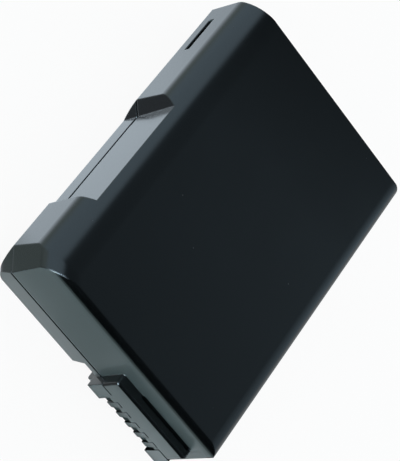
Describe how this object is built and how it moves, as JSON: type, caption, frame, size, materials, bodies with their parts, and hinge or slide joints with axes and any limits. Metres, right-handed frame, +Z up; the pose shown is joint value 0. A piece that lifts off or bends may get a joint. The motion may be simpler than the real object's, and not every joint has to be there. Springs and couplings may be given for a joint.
{
  "type": "camera battery",
  "caption": "Flat rechargeable camera battery in a two-shell moulded case, with a recessed long side, a bevelled corner, a key notch and a slotted terminal block on its end.",
  "frame": {"origin": "on the supporting surface, under the middle of the overall box, with the battery lying on its back", "axes": "+Z up through the thickness, out of the plain front face; +Y along the length, away from the terminal end; +X across the width, away from the recessed side"},
  "size_m": [0.0366, 0.0526, 0.014],
  "materials": {
    "front_shell_plastic": "moulded, satin",
    "back_shell_plastic": "moulded, satin",
    "cell_can": "drawn, satin",
    "adhesive": "double-sided tape",
    "foam": "closed-cell foam",
    "insulating_paper": "pressed fibre",
    "nickel": "rolled nickel strip",
    "board": "solder mask",
    "chip": "moulded epoxy",
    "fuse_body": "ceramic",
    "resistor_body": "glazed film",
    "capacitor_body": "ceramic",
    "contact_gold": "gold-plated"
  },
  "bodies": {
    "root": {"front_shell": "front_shell_plastic", "back_shell": "back_shell_plastic", "cell_front": "cell_can", "cell_back": "cell_can", "cell_adhesive": "adhesive", "front_pad": "foam", "header_insulator_front": "insulating_paper", "header_insulator_back": "insulating_paper", "link_tab": "nickel", "positive_tab": "nickel", "negative_tab": "nickel", "midpoint_tab": "nickel", "circuit_board": "board", "protection_chip": "chip", "switch_chip": "chip", "memory_chip": "chip", "fuse": "fuse_body", "thermistor": "resistor_body", "sense_resistor": "resistor_body", "chip_capacitor_1": "capacitor_body", "chip_capacitor_2": "capacitor_body", "contact_1": "contact_gold", "contact_2": "contact_gold", "contact_3": "contact_gold", "contact_4": "contact_gold", "contact_5": "contact_gold", "contact_6": "contact_gold"}
  },
  "joints": []
}
